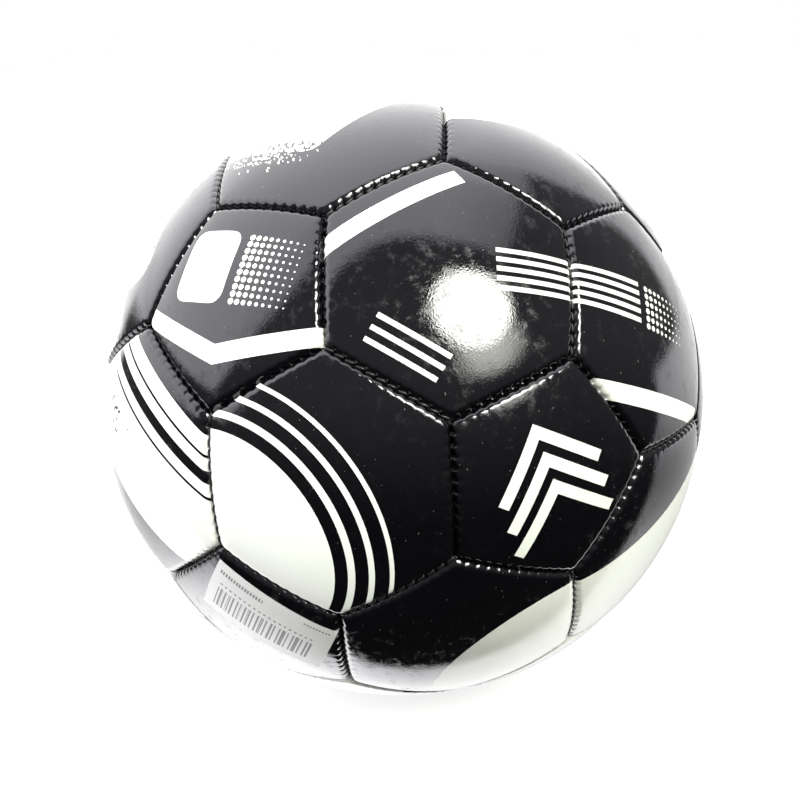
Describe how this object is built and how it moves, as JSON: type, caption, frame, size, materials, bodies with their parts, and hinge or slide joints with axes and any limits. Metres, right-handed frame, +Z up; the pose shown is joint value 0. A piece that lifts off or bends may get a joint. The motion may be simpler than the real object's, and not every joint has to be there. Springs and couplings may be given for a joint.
{
  "type": "soccer ball",
  "caption": "Round size 5 soccer ball with hexagon and pentagon panels stitched edge to edge over a bladder, with an inflation valve.",
  "frame": {"origin": "centre of the ball", "axes": "X, Y and Z are the panel pattern's two-fold axes, each through the middle of a seam between two hexagons; +Z up, and the valve is on the hexagon at (+1, +1, +1)"},
  "size_m": [0.22, 0.22, 0.22],
  "materials": {
    "cover": "glossy printed synthetic leather, black ground with white graphics",
    "foam": "closed-cell foam",
    "lining": "woven cotton and polyester lining",
    "thread": "waxed polyester thread",
    "bladder": "smooth butyl rubber",
    "patch": "bonded rubber patch",
    "valve_rubber": "moulded butyl rubber",
    "insert_rubber": "moulded soft rubber",
    "label": "printed paper label with plain bars"
  },
  "bodies": {
    "ball": {"hexagon_panel_01": "cover", "hexagon_panel_02": "cover", "hexagon_panel_03": "cover", "hexagon_panel_04": "cover", "hexagon_panel_05": "cover", "hexagon_panel_06": "cover", "hexagon_panel_07": "cover", "hexagon_panel_08": "cover", "hexagon_panel_09": "cover", "hexagon_panel_10": "cover", "hexagon_panel_11": "cover", "hexagon_panel_12": "cover", "hexagon_panel_13": "cover", "hexagon_panel_14": "cover", "hexagon_panel_15": "cover", "hexagon_panel_16": "cover", "hexagon_panel_17": "cover", "hexagon_panel_18": "cover", "hexagon_panel_19": "cover", "hexagon_panel_20": "cover", "pentagon_panel_01": "cover", "pentagon_panel_02": "cover", "pentagon_panel_03": "cover", "pentagon_panel_04": "cover", "pentagon_panel_05": "cover", "pentagon_panel_06": "cover", "pentagon_panel_07": "cover", "pentagon_panel_08": "cover", "pentagon_panel_09": "cover", "pentagon_panel_10": "cover", "pentagon_panel_11": "cover", "pentagon_panel_12": "cover", "hexagon_foam_pads": "foam", "pentagon_foam_pads": "foam", "hexagon_linings": "lining", "pentagon_linings": "lining", "pentagon_seam_threads": "thread", "hexagon_seam_threads": "thread", "bladder": "bladder", "valve_patch": "patch", "valve_body": "valve_rubber", "stock_label": "label"},
    "valve_insert": {"valve_insert": "insert_rubber"}
  },
  "joints": [
    {"name": "valve_insert_pull", "type": "slide", "parent": "ball", "child": "valve_insert", "axis": [0.5774, 0.5774, 0.5774], "range_m": [0, 0.016]}
  ]
}
